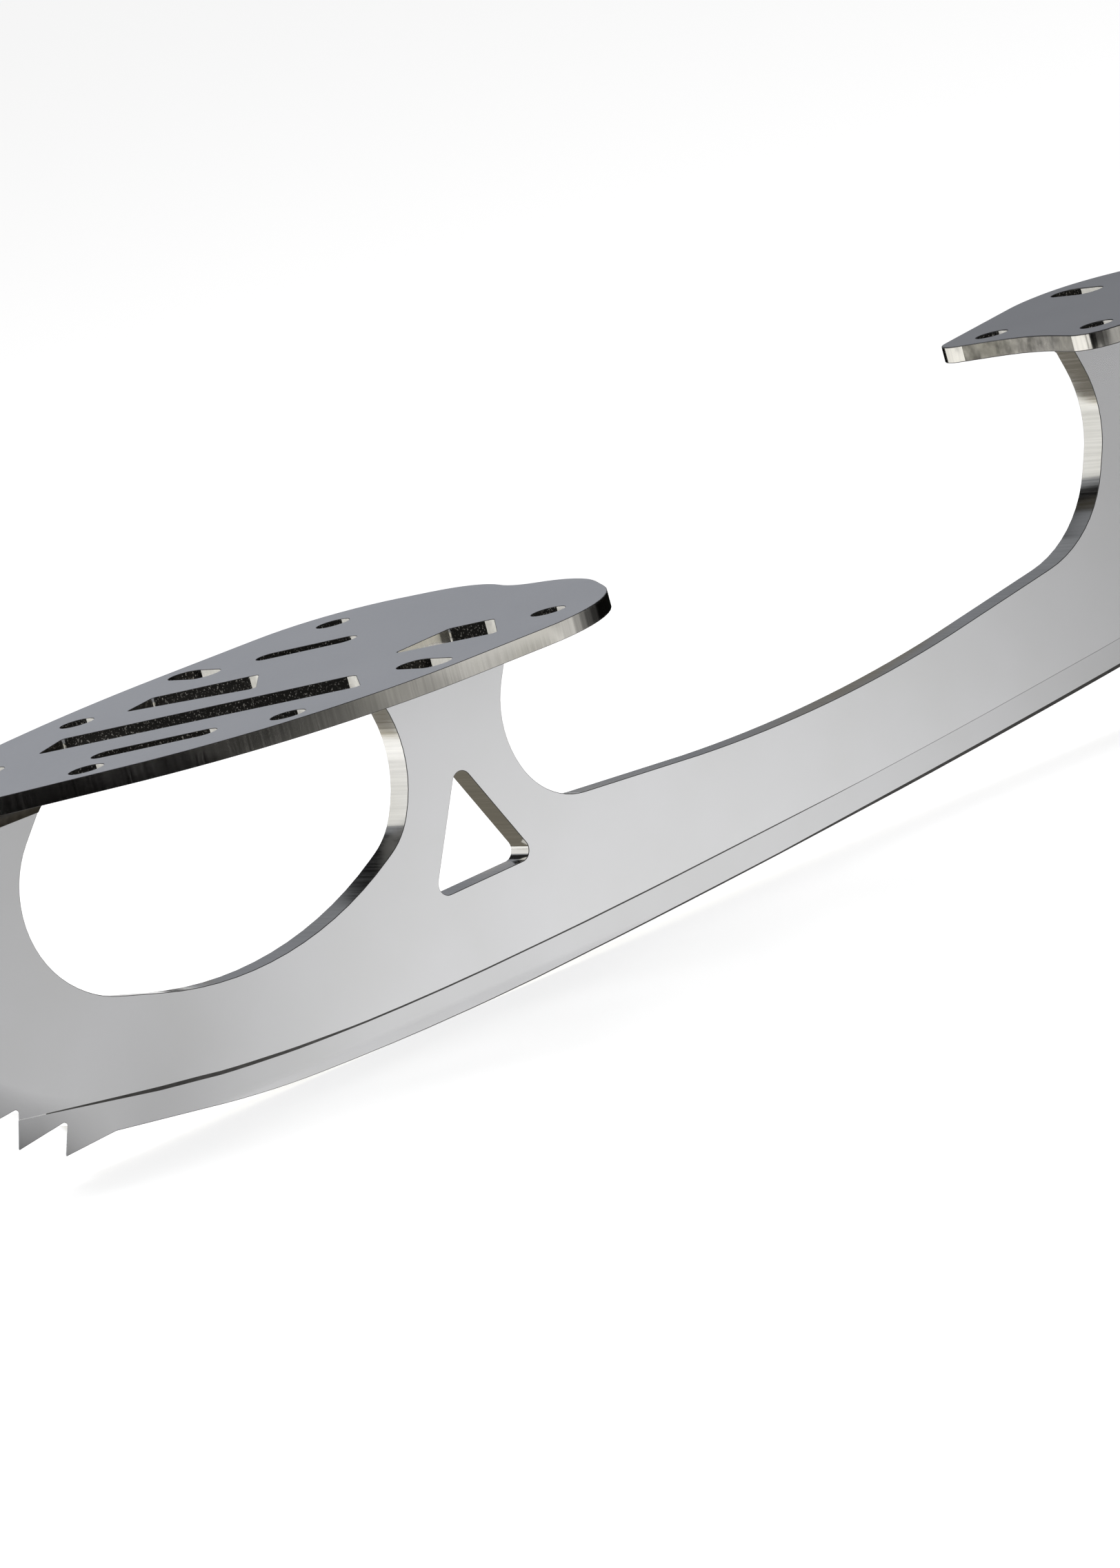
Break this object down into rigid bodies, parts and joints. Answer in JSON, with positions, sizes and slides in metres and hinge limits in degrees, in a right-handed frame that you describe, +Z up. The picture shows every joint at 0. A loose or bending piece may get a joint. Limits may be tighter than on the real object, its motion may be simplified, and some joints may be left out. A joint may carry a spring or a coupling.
{
  "type": "figure skate blade",
  "caption": "Steel figure skate blade with a toe pick, cut-out legs, a slotted sole plate and a heel plate, ready to screw to a boot.",
  "frame": {"origin": "midway along and across the object, at the height of the lowest point of the cutting edge", "axes": "+X from the toe to the heel, +Y towards the inner side of the foot, +Z up to the boot"},
  "size_m": [0.2714, 0.0646, 0.0554],
  "materials": {
    "blade_steel": "satin",
    "plate_steel": "matte",
    "braze_metal": "satin"
  },
  "bodies": {
    "root": {"blade": "blade_steel", "sole_plate": "plate_steel", "heel_plate": "plate_steel", "front_braze": "braze_metal", "middle_braze": "braze_metal", "heel_braze": "braze_metal"}
  },
  "joints": []
}
